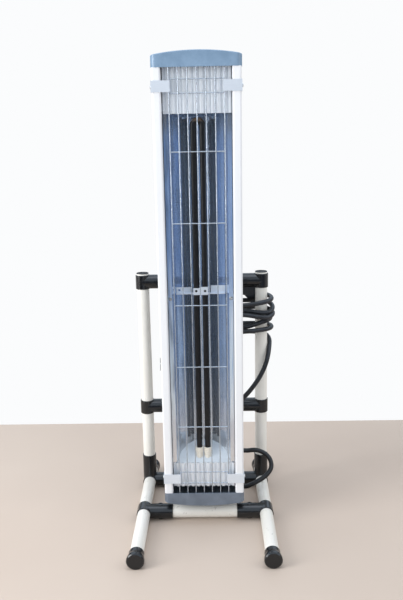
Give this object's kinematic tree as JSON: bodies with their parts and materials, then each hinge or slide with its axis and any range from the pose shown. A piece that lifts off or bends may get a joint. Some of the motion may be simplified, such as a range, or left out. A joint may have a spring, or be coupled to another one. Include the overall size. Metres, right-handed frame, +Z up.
{
  "type": "infrared patio heater tower",
  "caption": "Tall slim infrared heater head behind a wire guard, hinged on a coated pipe stand with moulded joints, with its supply cord coiled round one upright.",
  "frame": {"origin": "on the floor, at the middle of the stand seen from above", "axes": "+Z up, +Y from the guard side to the back, +X to the right seen from the front"},
  "size_m": [0.3232, 0.408, 0.98],
  "materials": {
    "black_joint": "glossy moulded joint resin, faint seam line",
    "coated_pipe": "ivory resin coating on steel pipe, light scuffs",
    "white_rail": "smooth white powder coat",
    "housing_paint": "light grey powder coat on folded sheet",
    "cap_plastic": "satin slate grey moulded caps",
    "mirror_reflector": "bright rolled reflector sheet",
    "stainless": "fine brushed stainless sheet",
    "guard_chrome": "bright plated wire",
    "element_steel": "dark coated sheath with heat tint at the bend",
    "ceramic": "white glazed ceramic holder rings, here as gloss plastic",
    "zinc_steel": "zinc plated pressed steel",
    "knob_plastic": "black moulded plastic, fine texture",
    "rocker_plastic": "red glossy rocker",
    "gland_plastic": "black nylon",
    "lead_sleeve": "glass-fibre sleeved silicone leads",
    "weight_brass": "turned weight",
    "cord_rubber": "matt black rubber-sheathed cord",
    "plug_rubber": "black rubber plug"
  },
  "bodies": {
    "stand": {"base_joint_left": "black_joint", "base_joint_right": "black_joint", "cord_coil": "cord_rubber", "cord_lower": "cord_rubber", "cord_tail": "cord_rubber", "foot_caps": "black_joint", "front_cross_pipe": "coated_pipe", "front_tee_left": "black_joint", "front_tee_right": "black_joint", "hinge_bolt": "zinc_steel", "hinge_yoke": "zinc_steel", "middle_cross_pipe": "coated_pipe", "middle_tee_left": "black_joint", "middle_tee_right": "black_joint", "mounting_rail": "zinc_steel", "pipe_saddles": "zinc_steel", "plug": "plug_rubber", "rail_bolts": "zinc_steel", "rear_cross_pipe": "coated_pipe", "runner_pipe_left": "coated_pipe", "runner_pipe_right": "coated_pipe", "upper_cross_pipe": "coated_pipe", "upper_tee_left": "black_joint", "upper_tee_right": "black_joint", "upright_pipe_left": "coated_pipe", "upright_pipe_right": "coated_pipe", "upright_plugs": "black_joint"},
    "head": {"bottom_end_cap": "cap_plastic", "bracket_screws": "zinc_steel", "cable_gland": "gland_plastic", "clip_screws": "zinc_steel", "element_clip": "stainless", "element_holders": "ceramic", "element_leads": "lead_sleeve", "element_support": "stainless", "guard_clips": "stainless", "head_bracket": "zinc_steel", "heating_element": "element_steel", "lower_end_plate": "stainless", "lower_shield": "stainless", "rear_housing": "housing_paint", "reflector": "mirror_reflector", "reflector_stays": "stainless", "rocker_frame": "knob_plastic", "side_rail_left": "white_rail", "side_rail_right": "white_rail", "side_rivets": "zinc_steel", "side_screws": "zinc_steel", "switch_box": "housing_paint", "switch_box_cover": "housing_paint", "terminal_block": "gland_plastic", "tip_switch_frame": "gland_plastic", "top_end_cap": "cap_plastic", "upper_end_plate": "stainless", "upper_shield": "stainless", "wire_guard": "guard_chrome"},
    "knob": {"clamp_knob": "knob_plastic"},
    "rocker": {"power_rocker": "rocker_plastic"},
    "tip_weight": {"tip_switch_weight": "weight_brass"}
  },
  "joints": [
    {"name": "head_tilt", "type": "hinge", "parent": "stand", "child": "head", "pos_m": [0, 0.068, 0.51], "axis": [-1, 0, 0], "range_deg": [0, 15]},
    {"name": "knob_turn", "type": "hinge", "parent": "stand", "child": "knob", "pos_m": [0, 0.068, 0.51], "axis": [1, 0, 0], "range_deg": [-360, 0]},
    {"name": "rocker_press", "type": "hinge", "parent": "head", "child": "rocker", "pos_m": [0.0728, 0.048, 0.42348], "axis": [0, 1, 0], "range_deg": [-16, 0]},
    {"name": "tip_swing", "type": "hinge", "parent": "head", "child": "tip_weight", "pos_m": [0.0072, 0.0485, 0.4162], "axis": [1, 0, 0], "range_deg": [-12, 12]}
  ]
}
